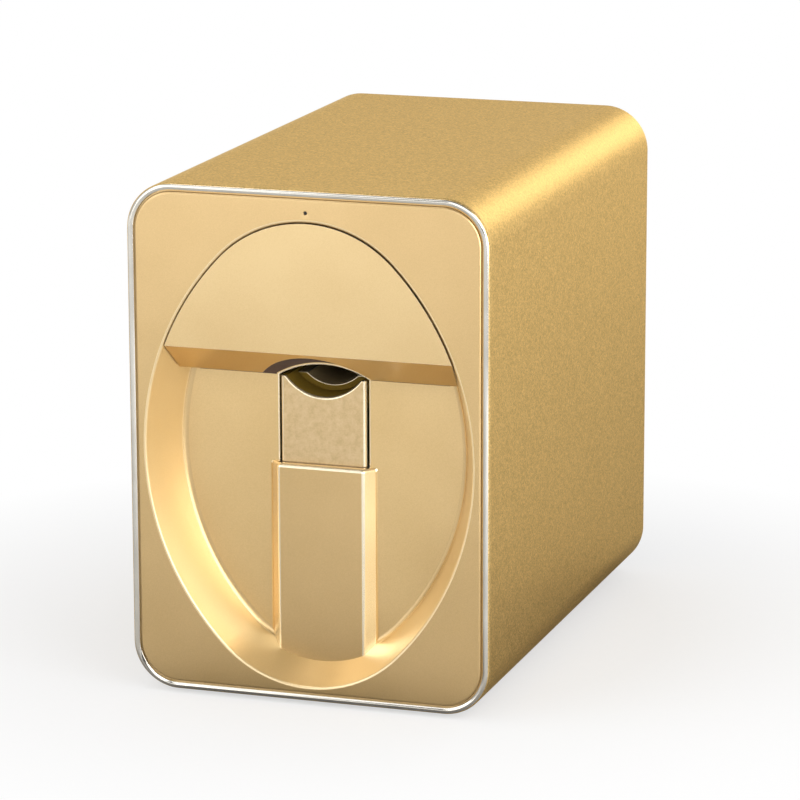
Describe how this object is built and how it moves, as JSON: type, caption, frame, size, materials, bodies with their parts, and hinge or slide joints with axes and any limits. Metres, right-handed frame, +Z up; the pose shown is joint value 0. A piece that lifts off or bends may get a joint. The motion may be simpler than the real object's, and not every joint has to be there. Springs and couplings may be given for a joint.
{
  "type": "nail art printer",
  "caption": "Desktop nail art printer: rounded gold sleeve, oval recess with pull-off cover and sprung finger rest, two-way ink carriage inside.",
  "frame": {"origin": "on the surface it stands on, under the middle of the housing", "axes": "-Y out of the front panel, +X to the right seen from the front, +Z up"},
  "size_m": [0.134, 0.2094, 0.1865],
  "materials": {
    "gold_metal": "metallic gold coat with a fine grain",
    "chrome": "polished",
    "gold_panel": "satin metallic gold",
    "gold_gloss": "smooth bright gold",
    "cover_gold": "satin pale gold",
    "rest_gold": "speckled bronze",
    "pad_silicone": "soft pale silicone",
    "foot_rubber": "black rubber",
    "dark_plastic": "moulded dark plastic",
    "black_plastic": "glossy black plastic",
    "steel_sheet": "zinc-plated sheet",
    "ground_steel": "ground rod",
    "brass_nut": "turned brass",
    "lamp_clear": "translucent light pipe",
    "board_green": "green solder mask",
    "latch_blue": "blue moulded lever",
    "pulley_alu": "turned aluminium"
  },
  "bodies": {
    "housing": {"sleeve": "gold_metal", "front_rim": "chrome", "front_panel": "gold_panel", "recess_wall": "gold_gloss", "recess_floor": "gold_panel", "guide_block": "gold_panel", "rear_panel": "dark_plastic", "lamp_window": "lamp_clear", "foot_1": "foot_rubber", "foot_2": "foot_rubber", "foot_3": "foot_rubber", "foot_4": "foot_rubber", "base_tray": "dark_plastic", "side_plate_left": "steel_sheet", "side_plate_right": "steel_sheet", "front_frame": "steel_sheet", "rear_frame": "steel_sheet", "top_bridge": "steel_sheet", "finger_tower": "dark_plastic", "nail_window": "black_plastic", "guide_rod_left": "ground_steel", "guide_rod_right": "ground_steel", "rest_spring_left": "ground_steel", "rest_spring_right": "ground_steel", "side_rod_left": "ground_steel", "side_rod_right": "ground_steel", "screw_bearing": "dark_plastic", "gantry_motor": "steel_sheet", "cap_station": "dark_plastic", "cap_seal": "foot_rubber", "camera": "black_plastic", "camera_lens": "black_plastic", "light_ring": "lamp_clear", "main_board": "board_green", "power_socket": "black_plastic", "switch_board": "board_green", "rear_screw_1": "ground_steel", "rear_screw_2": "ground_steel", "rear_screw_3": "ground_steel", "rear_screw_4": "ground_steel"},
    "finger_rest": {"finger_rest": "rest_gold", "finger_pad": "pad_silicone"},
    "cover": {"cover": "cover_gold", "cover_magnet_left": "ground_steel", "cover_magnet_right": "ground_steel"},
    "gantry": {"gantry_block_left": "dark_plastic", "gantry_block_right": "dark_plastic", "gantry_beam": "steel_sheet", "carriage_rod": "ground_steel", "carriage_rail": "ground_steel", "belt": "foot_rubber", "carriage_motor": "steel_sheet", "screw_nut": "brass_nut"},
    "screw": {"lead_screw": "ground_steel"},
    "drive_pulley": {"drive_pulley": "pulley_alu"},
    "idler_pulley": {"idler_pulley": "pulley_alu"},
    "carriage": {"carriage": "dark_plastic", "ink_cartridge": "black_plastic"},
    "latch": {"cartridge_latch": "latch_blue"},
    "power_button": {"power_button": "chrome"}
  },
  "joints": [
    {"name": "finger_rest_slide", "type": "slide", "parent": "housing", "child": "finger_rest", "axis": [0, 0, 1], "range_m": [-0.02, 0], "stiffness_N_per_m": 60, "springref_m": 0.02, "deforming": ["rest_spring_left", "rest_spring_right"]},
    {"name": "cover_pull", "type": "slide", "parent": "housing", "child": "cover", "axis": [0, -1, 0], "range_m": [0, 0.045]},
    {"name": "gantry_slide", "type": "slide", "parent": "housing", "child": "gantry", "axis": [0, 1, 0], "range_m": [-0.022, 0]},
    {"name": "screw_turn", "type": "hinge", "parent": "housing", "child": "screw", "pos_m": [-0.041, 0, 0.115], "axis": [0, 1, 0], "range_deg": [-1981, 1]},
    {"name": "carriage_slide", "type": "slide", "parent": "gantry", "child": "carriage", "axis": [1, 0, 0], "range_m": [-0.054, 0]},
    {"name": "drive_pulley_spin", "type": "hinge", "parent": "gantry", "child": "drive_pulley", "pos_m": [-0.041, 0.0049, 0.1487], "axis": [0, 1, 0], "range_deg": [-620, 1]},
    {"name": "idler_pulley_spin", "type": "hinge", "parent": "gantry", "child": "idler_pulley", "pos_m": [0.041, 0.0049, 0.1487], "axis": [0, 1, 0], "range_deg": [-620, 1]},
    {"name": "latch_turn", "type": "hinge", "parent": "carriage", "child": "latch", "pos_m": [0.034, -0.028, 0.1592], "axis": [-1, 0, 0], "range_deg": [0, 18]},
    {"name": "power_button_press", "type": "slide", "parent": "housing", "child": "power_button", "axis": [0, -1, 0], "range_m": [0, 0.001], "stiffness_N_per_m": 900, "springref_m": -0.0008}
  ],
  "couplings": [
    {"joint": "screw_turn", "follows": "gantry_slide", "rad_per_m": 1570.8},
    {"joint": "drive_pulley_spin", "follows": "carriage_slide", "rad_per_m": 200},
    {"joint": "idler_pulley_spin", "follows": "carriage_slide", "rad_per_m": 200}
  ]
}
